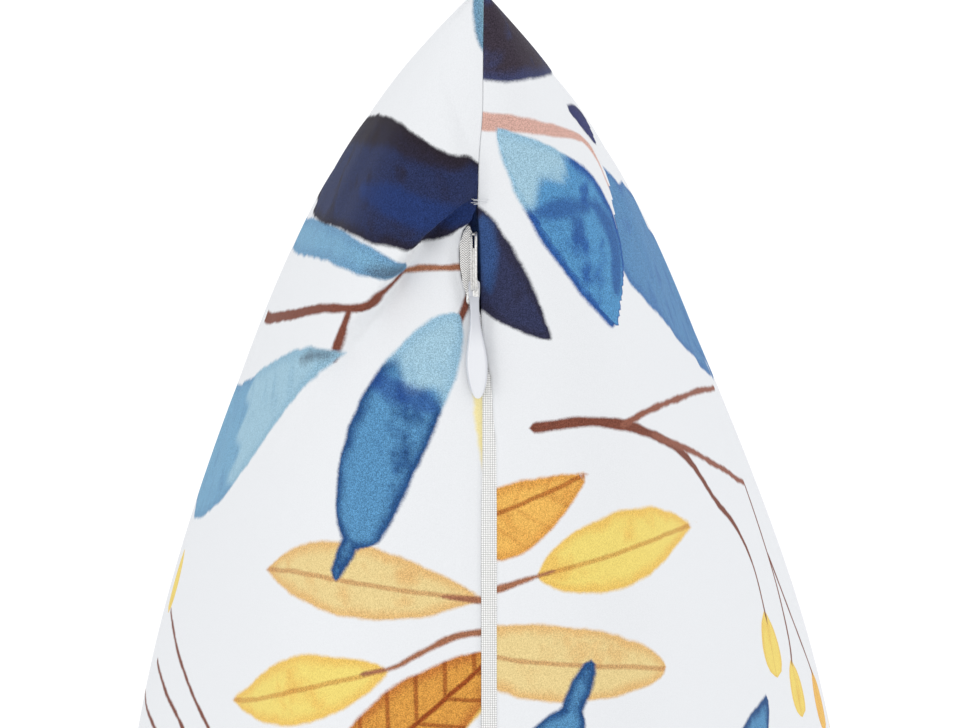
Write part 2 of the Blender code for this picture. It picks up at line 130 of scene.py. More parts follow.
# Slider and pull of the zip, placed from the slider's lower foot. A rod's rows hold s, out, z, half
# width and half depth. A bridge row has z, half width, half depth, the shares of the arch where it
# starts and ends, and how far it sinks: two bars, then the two ends of the web between them
HARDWARE_S, SLIDER_Z = 57.0, 1.1
BRIDGE_LENGTH, BRIDGE_OUT, BRIDGE_FOOT, BRIDGE_POWER = 10.6, 1.75, -2.2, 0.36
BRIDGE_STEPS = 25
BRIDGE_ROWS = [
    (0.58, 0.14, 0.26, 0, 1, 0), (-0.32, 0.25, 0.3, 0, 1, 0),
    (0.14, 0.36, 0.16, 0.44, 1, 0.25), (0.14, 0.36, 0.16, 0, 0.035, 0),
]
SLIDER_BODY = [
    (-6.4, -2.6, 0, 0.12, 0.25), (-6.1, -2.6, 0, 0.45, 0.6), (-4, -2.4, 0, 0.55, 0.75),
    (-1, -2.2, 0, 0.55, 0.8), (0.1, -2.2, 0, 0.45, 0.7), (0.4, -2.3, 0, 0.12, 0.25),
]
SLIDER_TAIL = [
    (-3.2, 0.5, -0.25, 0.08, 0.2), (-2.6, 0.5, -0.28, 0.26, 0.34), (-1.4, 0.45, -0.3, 0.5, 0.4),
    (0.2, 0.4, -0.3, 0.62, 0.4), (1.3, 0.4, -0.3, 0.6, 0.36), (1.6, 0.4, -0.3, 0.2, 0.12),
]
SLIDER_LUG = [
    (-0.2, -1.2, 0.85, 0.1, 0.2), (0.1, -0.9, 0.9, 0.36, 0.42), (0.7, -0.75, 0.98, 0.46, 0.5),
    (1.7, -0.75, 1.05, 0.5, 0.5), (2.3, -0.9, 1.1, 0.38, 0.42), (2.6, -1.2, 1.12, 0.08, 0.15),
]
PULL = [
    (-2, 0.25, 0, 0.3, 0.1), (-1.85, 0.25, 0, 0.8, 0.25), (-1.3, 0.25, 0, 1.08, 0.28),
    (0.8, 0.3, 0, 1.05, 0.3), (1.6, 0.7, 0, 0.96, 0.42), (2.6, 1.05, -0.05, 0.9, 0.6),
    (4.5, 1.15, -0.12, 0.9, 0.7), (6.8, 1.2, -0.2, 1.08, 0.75), (9.2, 1.25, -0.3, 1.48, 0.8),
    (11.6, 1.25, -0.4, 1.88, 0.82), (14, 1.25, -0.5, 2.05, 0.84), (16.4, 1.25, -0.6, 1.88, 0.82),
    (18.3, 1.25, -0.66, 1.48, 0.76), (19.6, 1.2, -0.7, 0.95, 0.62), (20.2, 1.17, -0.71, 0.55, 0.42),
    (20.4, 1.15, -0.72, 0.15, 0.15),
]
PULL_PAINTED_SHADE = (3.0, 12.0)  # painted shade: the coat's colour is greyer on the stem and round the sides
PULL_RIM = (8.0, 19.2, 0.13)  # a raised rim round the drop: from, to and height
RIM_PLACE, RIM_WIDTH, RIM_OUTSIDE = 0.72, 0.12, 0.92  # shares of the drop's half width

# Stitches of the bar tack over the end of the opening: place, z at both ends, lean and bulge
TACK_THREADS = [
    (39.7, 1.6, -1.7, 0.25, 0.55), (40, 1.3, -1.9, -0.15, 0.45), (40.35, 1.7, -1.4, 0.1, 0.6),
    (40.7, 1.2, -1.2, -0.3, 0.4),
]
TACK_HALF, TACK_OUT = 0.06, -0.15

# Print: inks, each with its body colour, the shade that pools in it, how far it pools, and its veins.
# Two tints among them are not print but painted highlights of the velvet's sheen
INKS = {
    "navy": ((37, 45, 78), (35, 31, 42), 0.9, 0), "black": ((54, 47, 57), (56, 64, 102), 0.7, 0),
    "deep": ((46, 50, 96), (42, 44, 76), 0.5, 0), "indigo": ((46, 50, 78), (41, 40, 58), 0.9, 0),
    "sky": ((150, 186, 205), (120, 164, 194), 0.4, 0),
    "mist": ((148, 184, 203), (116, 156, 182), 0.45, 0),
    "lake": ((110, 156, 187), (92, 132, 168), 0.6, 0), "blue": ((80, 132, 174), (34, 70, 118), 1, 0),
    "sea": ((82, 127, 170), (64, 102, 156), 0.7, 0), "wave": ((78, 134, 180), (40, 80, 144), 1, 0),
    "teal": ((112, 150, 168), (76, 112, 150), 0.5, 0),
    "cream": ((240, 229, 176), (234, 214, 140), 0.5, 0),
    "straw": ((224, 199, 138), (214, 166, 104), 0.75, 0.6),
    "yellow": ((232, 208, 112), (224, 170, 82), 0.6, 0.6),
    "orange": ((204, 142, 64), (172, 100, 46), 0.8, 1),
    "amber": ((226, 172, 86), (196, 128, 58), 0.6, 0.8),
    "bud": ((234, 208, 108), (220, 170, 78), 0.5, 0.2),
    "ripe": ((230, 182, 92), (210, 138, 60), 0.5, 0.2), "cobalt": ((32, 56, 112), (0, 0, 0), 0.6, 0),
    "soot": ((40, 33, 40), (0, 0, 0), 0.8, 0), "gleam": ((92, 146, 194), (0, 0, 0), 0.9, 0),
    "slate": ((72, 84, 98), (0, 0, 0), 0.8, 0), "dusk": ((38, 72, 138), (0, 0, 0), 0.7, 0),
    "haze": ((58, 92, 148), (0, 0, 0), 0.7, 0),
}

# Leaves of the print by panel and layer: their ink (or two and where the second starts), their base
# and tip on the cut cloth, how far the midrib bends to the left, half widths on the left and the
# right, and two powers that swell the leaf from its base and point its tip
LEAVES = {
    ("top", "over"): [
        ("navy", (40.5, -1.2), (35, 150), 0, (10.8, 12.8), (0.25, 0.8)),
        (("sky", "blue", 0.33), (64.2, 2.4), (111.8, 24), 3.9, (7.3, 8), (0.6, 0.45)),
        ("blue", (101, 20.5), (119, 28.5), 0, (2, 2.2), (0.2, 0.35)),
    ],
    ("top", "tint"): [
        ("cobalt", (45.5, -1), (43.5, 30), 0, (3.8, 2.5), (0.4, 0.8)),
        ("soot", (32, 1), (29, 90), 0, (4, 3.5), (0.3, 0.4)),
        # Painted highlight: a pale blue streak for the velvet's sheen where the fold turns over by the
        # slider
        ("gleam", (44.8, 0.5), (46.8, 4.2), 0, (0.2, 0.2), (0.4, 0.4)),
        ("slate", (58, 21), (56.4, 14.2), 0, (1.1, 1.1), (0.5, 0.3)),
        ("slate", (75.5, 30.5), (78, 46), 0, (0.8, 0.8), (0.4, 0.8)),
        ("dusk", (64.5, -1), (71, 0.6), 0, (0.6, 0.9), (0.4, 0.4)),
        ("dusk", (79, 21.5), (83, 8.5), 0, (2.2, 2.2), (0.4, 0.4)),
    ],
    ("top", "cool"): [
        ("lake", (48.2, 162), (56.3, 13.5), 0, (3.9, 3.9), (0.3, 0.28)),
        (("mist", "lake", 0.42), (75, 28), (95, 215), -9.5, (14.5, 14.5), (0.7, 0.25)),
        ("orange", (166, 33), (131.5, -2.5), 0, (7.6, 8.3), (0.9, 0.8)),
        ("teal", (-6, 1.2), (13, -0.8), 0, (2.2, 2.6), (0.5, 0.6)),
    ],
    ("top", "warm"): [
        ("straw", (120.6, -1), (119.3, 54.8), 1, (7.5, 6.8), (1.1, 1.4)),
        ("yellow", (134.6, 16.2), (145.2, 74.5), -3.2, (6.5, 6.5), (1, 1.8)),
        ("bud", (119, 178), (132, 177), 0, (9, 9), (0.5, 0.5)),
        ("cream", (74.5, -0.3), (96, -0.6), 0, (2, 2), (0.25, 0.8)),
        ("yellow", (137, -2.5), (152, 16), 0, (4, 4), (0.8, 0.8)),
    ],
    ("under", "over"): [
        ("black", (9, -12), (13, 48), 0, (9.5, 9), (0.5, 0.9)),
        (("sky", "wave", 0.32), (27.4, 2.6), (69.8, 30), -3, (19.6, 2.2), (0.9, 0.42)),
        ("deep", (24, 40), (32.2, 55), 0, (6.5, 0.8), (1.1, 0.25)),
        ("indigo", (42.6, -2.2), (70.1, 13.5), 0.2, (2.8, 12.3), (0.35, 1)),
        ("blue", (148, 14.5), (133.5, 20.5), 0, (2.3, 2.3), (0.35, 0.4)),
        ("blue", (178, 2), (143, 18), 2, (8, 7), (0.5, 0.6)),
    ],
    ("under", "tint"): [
        ("dusk", (46, 27), (64, 31.5), 5, (2.3, 2.3), (0.35, 0.4)),
        ("dusk", (45.5, 9), (46, 26), 0, (1.9, 1.9), (0.5, 0.5)),
        ("dusk", (47, 20.5), (52.5, 21.5), 0, (1.6, 1.6), (0.4, 0.5)),
        # Painted highlight: a mid blue band for the velvet's sheen along the lip of the zip opening
        ("haze", (45, 0.8), (60, 1.6), 0, (1.7, 1.7), (0.4, 0.8)),
    ],
    ("under", "cool"): [
        ("sea", (41, 40), (79, 165), 0, (8, 21), (0.12, 1)),
        ("sea", (41.5, 62), (75, 215), 0, (14, 13), (0.8, 0.6)),
        ("amber", (107, -10), (97.2, 20.2), 0, (5, 9.4), (0.6, 1)),
        ("blue", (186, 52), (146, 114.5), 0, (13, 12), (0.5, 1)),
    ],
    ("under", "warm"): [
        ("bud", (129.5, 127), (142.5, 126), 0, (10, 10), (0.6, 0.45)),
        ("bud", (140.5, 149), (152, 148), 0, (8, 8), (0.6, 0.45)),
        ("ripe", (144.5, 184), (157, 184), 0, (10, 10), (0.6, 0.45)),
        ("yellow", (116.4, 9), (110, 69.5), 1.2, (7.9, 6.9), (0.8, 1.9)),
        ("straw", (130, -16), (137.3, 40.5), 0, (7.6, 7.4), (0.8, 0.9)),
    ],
}
LEAF_STEP = 2  # a midrib takes every second place of its bent line
LEAF_MARGIN = 8.0
TIDE_DEPTH, TIDE_LENGTH, TIDE_WIDTH = 0.035, 8.5, 0.03  # scallops where the second ink starts
LAYERS = ("warm", "cool", "over", "tint")

# Twigs of the print by panel: their set, their places on the cut cloth, half widths at both ends
# and colour. Twigs of one set never come close to each other
TWIG_COLOURS = {
    "bark": (120, 70, 56), "umber": (140, 88, 72), "rust": (156, 104, 78), "rose": (205, 164, 152),
}
TWIGS = {
    "top": [
        (0, [(67, 150), (69, 110), (69, 56), (65.4, 25), (61.4, 18.4), (57.4, 14)], (1.4, 0.55), "bark"),
        (1, [(57.6, 14.2), (56.2, 9), (55.4, 3), (55, -2)], (0.55, 0.7), "rust"),
        (1, [(65.6, 25), (70, 27), (77, 31)], (0.8, 0.8), "bark"),
        (1, [(60.5, -1), (64, 1.5), (67, 3.5)], (0.8, 0.9), "bark"),
        (0, [(121, -2), (120.6, 2), (120.1, 7)], (0.9, 0.5), "rust"),
        (1, [(126.8, -2), (128, 4.8), (131.8, 11.6), (134.6, 16), (136.5, 22)], (0.8, 0.45), "rust"),
        (0, [(131, 172), (138, 139), (145, 113), (152, 90), (163, 62)], (0.5, 0.7), "bark"),
        (1, [(142, 178), (147, 147), (153, 117), (166, 80)], (0.5, 0.7), "bark"),
        (2, [(150, 210), (155, 156), (162, 120)], (0.5, 0.6), "bark"),
    ],
    "under": [
        (0, [(26, -2), (26.8, 4), (27.9, 8), (29.6, 14), (31.8, 24), (33.4, 28.5)], (2, 0.9), "rose"),
        (1, [(32.4, 27), (36, 32), (39, 35), (43, 37.5), (47, 41)], (0.7, 0.3), "rose"),
        (0, [(87, 9), (87, 19), (89, 30), (91.6, 41), (96.6, 66), (105, 92), (111, 113), (119.5, 126),
         (131, 127.5)], (1.1, 0.8), "bark"),
        (1, [(89, 29.5), (87, 42), (85, 69), (83, 107), (82, 157)], (0.75, 0.6), "umber"),
        (2, [(91.8, 42), (93.8, 55), (97, 88), (99.5, 116), (101.5, 138),
         (102.5, 152)], (0.7, 0.7), "umber"),
        (1, [(102.5, 152), (113, 155), (124, 156), (136, 153), (141, 149)], (1, 0.8), "bark"),
        (2, [(118, 156), (132, 168), (145, 184)], (0.9, 0.8), "bark"),
        (0, [(119, -2), (118.3, 1.5), (116.8, 7), (115.4, 13)], (0.9, 0.4), "rust"),
    ],
}
TWIG_SETS = ("twigs0", "twigs1", "twigs2")
TWIG_MARGIN, TWIG_OFF = 12.0, 50.0
TWIG_REACH, TWIG_COARSE, TWIG_FALL = (3.0, 6.0), (150.0, 260.0), 3.0
LINE_SAMPLES = 8

# Sprigs that carry the print on over the rest of each panel: place of the foot, turn in degrees,
# size and family. Each leaf has its share of the stem, lean, length and half width
SPRIGS = {
    "top": [
        ((196, 14), 68, 0.95, "gold"), ((226, 140), 108, 1, "blue"), ((262, 30), 55, 1, "navy"),
        ((378, 22), 98, 0.95, "gold"), ((318, 142), 105, 1, "gold"), ((436, 140), 100, 0.9, "blue"),
        ((52, 240), 60, 0.95, "gold"), ((160, 268), 84, 1, "navy"), ((290, 276), 12, 0.9, "blue"),
        ((20, 330), 35, 1, "blue"), ((232, 372), 20, 0.95, "gold"), ((140, 420), 170, 0.85, "navy"),
        ((434, 318), 132, 0.9, "navy"),
    ],
    "under": [
        ((206, 40), 80, 1, "blue"), ((300, 16), 60, 0.95, "gold"), ((424, 40), 118, 1, "navy"),
        ((250, 150), 145, 1, "gold"), ((330, 150), 70, 1, "blue"), ((60, 190), 72, 1, "navy"),
        ((150, 236), 60, 1, "gold"), ((440, 236), 122, 0.9, "gold"), ((246, 280), 96, 1, "blue"),
        ((20, 318), 40, 0.95, "gold"), ((120, 402), 8, 0.85, "navy"), ((330, 330), 48, 0.9, "navy"),
    ],
}
SPRIG_STEM = [(0, 0), (34, 5), (68, 2), (104, -9)]
SPRIG_LEAVES = [
    (0.2, 42, 40, 7.5), (0.34, -46, 46, 8.5), (0.52, 38, 44, 8.0), (0.68, -40, 40, 7.0),
    (0.84, 30, 32, 5.5), (0.98, -16, 38, 6.5),
]
SPRIG_BEND, SPRIG_POWERS, SPRIG_TWIG = 2.5, (0.65, 0.8), (1.0, 0.5)
FAMILIES = {
    "blue": [("cool", "mist"), ("over", ("sky", "blue", 0.4)), ("cool", "sea"), ("cool", "mist")],
    "gold": [("warm", "yellow"), ("warm", "orange"), ("warm", "straw"), ("warm", "yellow")],
    "navy": [("over", "navy"), ("cool", "mist"), ("over", "navy"), ("over", ("sky", "blue", 0.3))],
}

# Edges, pooled shade and veins of the print, in millimetres over the cut cloth
LEAF_EDGE, TWIG_EDGE, TINT_EDGE, POOL_EDGE = (-0.5, 0.55), (-0.38, 0.42), (-1.5, 1.1), (3.0, 0.4)
MIDRIB_EDGE, BRANCH_EDGE = (0.75, 0.2), (0.9, 0.2)
BRANCH_SLANT, BRANCH_PITCH, BRANCH_STRENGTH = 0.9, 3.6, 0.75

# Camera: level with the seam and rolled so that the zip edge stands upright in the picture
VIEW_DISTANCE, SENSOR = 1400.0, 36.0
PIXELS_PER_MM = 5.3  # at the zip edge
IMAGE_WIDTH, IMAGE_HEIGHT = 970, 728
TIP_ROW, SEAM_COLUMN = -12.0, 480.0  # of the corner tip and the seam in the picture

# Studio: soft white light from all round and a key lamp on the picture's left, placed in metres
SKY_LIGHT, FLOOR_GLOW, EXPOSURE, FLOOR_SIZE = 0.815, 0.88, 0.2, 12000
KEY_POWER, KEY_SIZE, KEY_PLACE, KEY_AIM = 2.5, 0.8, (0.1, -0.95, 1.3), (0.12, -0.15, 0.08)


def srgb(red, green, blue):
    """A colour given as 0 to 255, in the linear numbers that shaders take."""
    linear = []
    for value in (red, green, blue):
        share = value / 255
        linear.append(share / 12.92 if share <= 0.04045 else ((share + 0.055) / 1.055) ** 2.4)
    return tuple(linear)


WHITE = (1, 1, 1)
WHITE_CLOTH = srgb(231, 233, 236)


def smoothstep(start, end, value):
    share = np.clip((value - start) / (end - start), 0, 1)
    return share * share * (3 - 2 * share)


def mixed(first, second, share):
    """A blend of two values or arrays of them."""
    return first + (second - first) * share


def unit(vectors):
    """Vectors made one long."""
    return vectors / (np.linalg.norm(vectors, axis=-1)[..., None] + 1e-9)


def column_at(rows, columns, name, s):
    """A table's column at distance s, eased between its rows."""
    places, values = np.array(rows, float).T[[0, columns.index(name)]]
    nth = np.clip(np.searchsorted(places, s, side="right") - 1, 0, len(rows) - 2)
    eased = smoothstep(places[nth], places[nth + 1], s)
    return values[nth] * (1 - eased) + values[nth + 1] * eased


def smooth_line(points, samples):
    """Points along a Catmull-Rom curve through the given ones."""
    points = [np.array(point, float) for point in points]
    ends = [2 * points[0] - points[1], *points, 2 * points[-1] - points[-2]]
    line = []
    for before, start, end, after in zip(ends, ends[1:], ends[2:], ends[3:]):
        slope, bend = end - before, 2 * before - 5 * start + 4 * end - after
        twist = 3 * start - before - 3 * end + after
        for n in range(samples):
            t = n / samples
            line.append(0.5 * (2 * start + slope * t + bend * t**2 + twist * t**3))
    return np.array([*line, points[-1]])


def bent_line(start, bend, end):
    """Points along a quadratic curve."""
    share = np.linspace(0, 1, FOLD_SAMPLES)[:, None]
    start, bend, end = (np.array(point) for point in (start, bend, end))
    return start * (1 - share) ** 2 + bend * 2 * share * (1 - share) + end * share**2


def nearest_on(line, across, along):
    """For places over the cloth: share of the line, signed distance from it, and offset beside it."""
    best = np.full(across.shape, np.inf)
    share, side = np.zeros(across.shape), np.zeros(across.shape)
    steps = len(line) - 1
    for n in range(steps):
        start, run = line[n], line[n + 1] - line[n]
        length = np.hypot(*run)
        da, db = across - start[0], along - start[1]
        t = np.clip((da * run[0] + db * run[1]) / length**2, 0, 1)
        gap = np.hypot(da - t * run[0], db - t * run[1])
        nearer = gap < best
        best = np.where(nearer, gap, best)
        share = np.where(nearer, (n + t) / steps, share)
        side = np.where(nearer, (run[0] * db - run[1] * da) / length, side)
    return share, np.copysign(best, side), side


def side_reach(across):
    """Distance from the middle to a side, for a place from -1 to 1 along it."""
    return SIDE_REACH + (CORNER_REACH - SIDE_REACH) * np.abs(across) ** SIDE_POWER


def crown_height(x, y, face):
    """Height of a panel over the seam's plane, for places from -1 to 1."""
    swell, edge_power, power_gain = CROWN[face]
    inside = np.clip((1 - x * x) * (1 - y * y), 0, 1)
    height = swell * inside ** (edge_power + power_gain * inside)
    fullness = np.where(y < 0, ZIP_SIDE_FULLNESS * (1 - np.abs(x) ** ZIP_SIDE_FADE), 0)
    height *= np.maximum(1 - y * y, 1e-9) ** -fullness
    return height * (1 + (height / SOFT_LIMIT) ** SOFT_POWER) ** (-1 / SOFT_POWER)


def grid_lines(rim, stretches):
    """Places from 0 to twice the corner reach, close together at both ends."""
    reach, cells, power = rim
    lines = [reach * (n / cells) ** power for n in range(cells)]
    for start, end, count in stretches:
        lines += [start + (end - start) * n / count for n in range(count)]
    reach, cells, power = FAR_RIM
    lines += [2 * CORNER_REACH - reach * (1 - n / cells) ** power for n in range(cells + 1)]
    return np.array(lines)


def walked(steps, axis):
    """Distances run along an axis of a grid, from its first side and from its last."""
    run = np.concatenate([0 * np.take(steps, [0], axis=axis), np.cumsum(steps, axis=axis)], axis=axis)
    return run, np.take(run, [-1], axis=axis) - run


class Panel:
    """One panel's grid: places, cloth distances from the four sides, cut places and directions."""

    def __init__(self, x, y, face):
        self.x, self.y, self.face = x, y, face
        self.sign = 1 if face == "top" else -1
        height = self.sign * crown_height(x, y, face)
        self.places = np.stack([x * side_reach(y), y * side_reach(x), height], axis=-1)
        self.s = (1 - x) * CORNER_REACH
        self.from_end, self.from_tip = walked(np.linalg.norm(np.diff(self.places, axis=0), axis=-1), 0)
        self.from_zip, self.from_far = walked(np.linalg.norm(np.diff(self.places, axis=1), axis=-1), 1)
        self.others = np.minimum(np.minimum(self.from_tip, self.from_end), self.from_far)
        self.u = CUT_SIZE * self.from_tip / (self.from_tip + self.from_end)
        self.v = CUT_SIZE * self.from_zip / (self.from_zip + self.from_far)
        run_x, run_y = np.gradient(self.places, axis=0), np.gradient(self.places, axis=1)
        self.outwards = unit(np.cross(run_x, run_y) * self.sign)
        self.along_s, self.along_v = -unit(run_x), unit(run_y)

    def cut_places(self):
        """Places on the flat cloth, at height 0."""
        return np.stack([self.u, self.v, 0 * self.u], axis=-1)


def fold_heights(panel):
    """Height that the soft folds add."""
    total = np.zeros_like(panel.s)
    for start, bend, end, height, near, far in FOLDS[panel.face]:
        share, gap, _ = nearest_on(bent_line(start, bend, end), panel.s, panel.from_zip)
        profile = np.exp(-(gap**2) / np.where(gap > 0, near, far) ** 2)
        total += height * profile * np.sin(math.pi * share**FOLD_LEAD) ** FOLD_ROUND
    return total


def pucker_heights(panel):
    """Height that the seams' puckers add."""
    x, y = panel.x, panel.y
    total = np.zeros_like(x)
    edges = ((x, panel.from_zip), (y, panel.from_tip), (x, panel.from_far), (y, panel.from_end))
    for length, height, reach in PUCKER_KINDS:
        for phase, (along, inwards) in zip(PUCKER_PHASES[panel.face], edges):
            run = along * CORNER_REACH
            depth = inwards / reach
            drift = PUCKER_DRIFT * np.sin(run / DRIFT_LENGTH + phase)
            wave = np.sin(run * 2 * math.pi / length + phase + drift)
            total += height * wave * depth * np.exp(1 - depth) * (1 - np.abs(along) ** 4)
    return total * mixed(PUCKER_AT_TIP, 1, smoothstep(*PUCKER_TIP_REACH, np.hypot(panel.s, panel.v)))


def rolled_fold(panel):
    """Moves that bend the cloth over at the rolled fold."""
    places, height, lean, valley, near, flank, far, fades = ROLLS[panel.face]
    line = smooth_line(places, ROLL_SAMPLES)
    share, gap, _ = nearest_on(line, panel.s, panel.from_zip)
    strength = smoothstep(*fades[:2], share) * (1 - smoothstep(*fades[2:], share))
    beyond = np.maximum(-gap, 0)
    swell = np.exp(-((np.maximum(gap, 0) / near) ** 2))
    drop = smoothstep(0, flank, beyond)
    fade = np.exp(-((np.maximum(beyond - flank, 0) / far) ** 2))
    rise = np.where(gap > 0, height * swell, height * (1 - drop) - valley * fade * drop)
    over = np.where(gap > 0, swell, fade - LEAN_BACK * drop * fade)
    over = lean * np.clip(over, -1, 1)
    way = unit(np.gradient(line, axis=0)[np.rint(share * (len(line) - 1)).astype(int)])
    towards = panel.along_s * way[..., 1:2] - panel.along_v * way[..., 0:1]
    return (panel.outwards * rise[..., None] + towards * over[..., None]) * strength[..., None]


def filled_moves():
    """How far the filling moves each place of a coarse grid of both panels, by cloth simulation."""
    lines = np.sin(np.linspace(-1, 1, SIM_CELLS + 1) * math.pi / 2)
    x, y = np.meshgrid(lines, lines, indexing="ij")
    panels = [Panel(x, y, face) for face in FACES]
    inner = np.zeros(x.shape, bool)
    inner[1:-1, 1:-1] = True
    number = np.arange(x.size).reshape(x.shape)
    under_number = np.where(inner, x.size - 1 + np.cumsum(inner).reshape(x.shape), number)

    filled = [panel.places for panel in panels]
    cut = [panel.cut_places() * (-1, 1, 1) for panel in panels]
    start, cut = (np.concatenate([a.reshape(-1, 3), b[inner]]) for a, b in (filled, cut))
    quads = grid_quads(SIM_CELLS, SIM_CELLS)
    under_quads = under_number.reshape(-1)[quads[:, ::-1]]
    blank = bpy.data.materials.new("blank")
    sack = new_object("sack", start, np.concatenate([quads, under_quads]), blank)
    sack.shape_key_add(name="filled")
    flat = sack.shape_key_add(name="cut")
    flat.data.foreach_set("co", (cut * MM).astype(np.float32).ravel())
    seam = sack.vertex_groups.new(name="seam")
    seam.add(number[~inner].tolist(), 1, "ADD")

    cloth = sack.modifiers.new("filling", "CLOTH")
    for name, value in SIM_CLOTH.items():
        setattr(cloth.settings, name, value)
    cloth.settings.rest_shape_key = flat
    cloth.settings.effector_weights.gravity = 0
    cloth.collision_settings.use_collision = False
    cloth.point_cache.frame_end = SIM_FRAMES
    scene = bpy.context.scene
    for step in range(1, SIM_FRAMES + 1):
        scene.frame_set(step)
    settled = sack.evaluated_get(bpy.context.evaluated_depsgraph_get()).data
    end = np.empty(len(settled.vertices) * 3, np.float32)
    settled.vertices.foreach_get("co", end)
    moves = end.reshape(-1, 3) / MM - start
    scene.frame_set(1)
    bpy.data.objects.remove(sack, do_unlink=True)
    bpy.data.materials.remove(blank)

    length = np.linalg.norm(moves, axis=-1)[:, None] + 1e-9
    moves *= SIM_CAP * np.tanh(length / SIM_CAP) / length
    return {"top": moves[number], "under": moves[under_number]}


def spread_weights(lines):
    """Cubic weights that carry values from the coarse grid's lines to finer ones."""
    turn = np.arcsin(np.clip(lines, -1, 1)) * 2 / math.pi
    place = (turn + 1) / 2 * SIM_CELLS
    cell = np.clip(place.astype(int), 0, SIM_CELLS - 1)
    t = place - cell
    shares = [(-t + 2 * t**2 - t**3) / 2, (2 - 5 * t**2 + 3 * t**3) / 2]
    shares += [(t + 4 * t**2 - 3 * t**3) / 2, (-(t**2) + t**3) / 2]
    weights = np.zeros((len(lines), SIM_CELLS + 1))
    for step, share in enumerate(shares, -1):
        np.add.at(weights, (np.arange(len(lines)), np.clip(cell + step, 0, SIM_CELLS)), share)
    return weights


def shape_panel(panel, slack):
    """Gives a panel its folds, puckers, rolled rim and lips."""
    rim = np.minimum(panel.from_zip, panel.others)
    ease_in = 1 - np.exp(-rim / FOLD_EASE)
    rise = (fold_heights(panel) + pucker_heights(panel)) * ease_in
    moves = panel.outwards * rise[..., None] + rolled_fold(panel) * ease_in[..., None]

    zip_roll = column_at(OPENING, OPENING_COLUMNS, "roll", panel.s)
    roll = np.where(panel.from_zip < panel.others, zip_roll, ROLL_DEPTH)
    roll *= mixed(ROLL_AT_TIP, 1, smoothstep(0, ROLL_TIP_REACH, panel.s))
    roll_width = ROLL_WIDTH * np.maximum(roll / ROLL_DEPTH, 1) ** 0.5
    moves -= panel.outwards * (roll * np.exp(-((rim / roll_width) ** 2)))[..., None]

    lips = column_at(OPENING, OPENING_COLUMNS, panel.face + "_lip", panel.s)
    lips *= np.exp(-panel.from_zip / LIP_FADE)
    plain = panel.sign * SEAM_GAP / 2 * np.exp(-panel.others / LIP_FADE)
    moves[..., 2] += np.where(panel.from_zip <= panel.others, lips, plain)
    panel.places = panel.places + moves + slack
    panel.places[..., 2] = np.maximum(panel.places[..., 2], -SEAM_HEIGHT)


def rim_walk(columns, rows):
    """Grid columns and rows round the rim, from the -X end of the zip edge, and the inward ways."""
    walk = [(i, 0, 0, 1) for i in range(columns)]
    walk += [(columns, j, -1, 0) for j in range(rows)]
    walk += [(i, rows, 0, -1) for i in range(columns, 0, -1)]
    walk += [(0, j, 1, 0) for j in range(rows, 0, -1)]
    i, j, way_x, way_y = np.array(walk).T
    return i, j, np.stack([way_x, way_y, 0 * way_x], axis=-1)


def groove_floor(top, under, i, j, inward):
    """The two rings of a groove's floor, behind the lips of both panels."""
    s = top.s[i, j]
    zip_depth = column_at(OPENING, OPENING_COLUMNS, "depth", s)
    tip = np.minimum(1, GROOVE_AT_TIP + GROOVE_RISE * np.minimum(s, 2 * CORNER_REACH - s))
    behind = inward * (np.where(j == 0, zip_depth, SEAM_DEPTH) * tip)[:, None]
    return [mixed(top.places[i, j], under.places[i, j], share) + behind for share in GROOVE_SHARES]


def grid_quads(columns, rows):
    """Faces of a grid of vertices."""
    number = np.arange((columns + 1) * (rows + 1)).reshape(columns + 1, rows + 1)
    quads = [number[:-1, :-1], number[1:, :-1], number[1:, 1:], number[:-1, 1:]]
    return np.stack(quads, axis=-1).reshape(-1, 4)


def linked(name, data):
    """A new object in the scene."""
    thing = bpy.data.objects.new(name, data)
    bpy.context.scene.collection.objects.link(thing)
    return thing


def new_object(name, vertices, faces, material, smooth_angle=None):
    """A mesh object from points in millimetres; a hard piece has a smooth angle."""
    mesh = bpy.data.meshes.new(name)
    mesh.from_pydata((np.asarray(vertices) * MM).tolist(), [], [list(map(int, f)) for f in faces])
    mesh.validate()
    mesh.shade_smooth()
    mesh.materials.append(material)
    if smooth_angle:
        mesh.set_sharp_from_angle(angle=math.radians(smooth_angle))
        bm = bmesh.new()
        bm.from_mesh(mesh)
        bmesh.ops.recalc_face_normals(bm, faces=bm.faces)
        bm.to_mesh(mesh)
        bm.free()
    return linked(name, mesh)


def keep(thing, name, values):
    """Keeps a vector of three numbers, or a colour of four, on each point of a mesh."""
    vector = values.shape[-1] == 3
    kept = thing.data.attributes.new(name, "FLOAT_VECTOR" if vector else "FLOAT_COLOR", "POINT")
    kept.data.foreach_set("vector" if vector else "color", values.astype(np.float32).ravel())


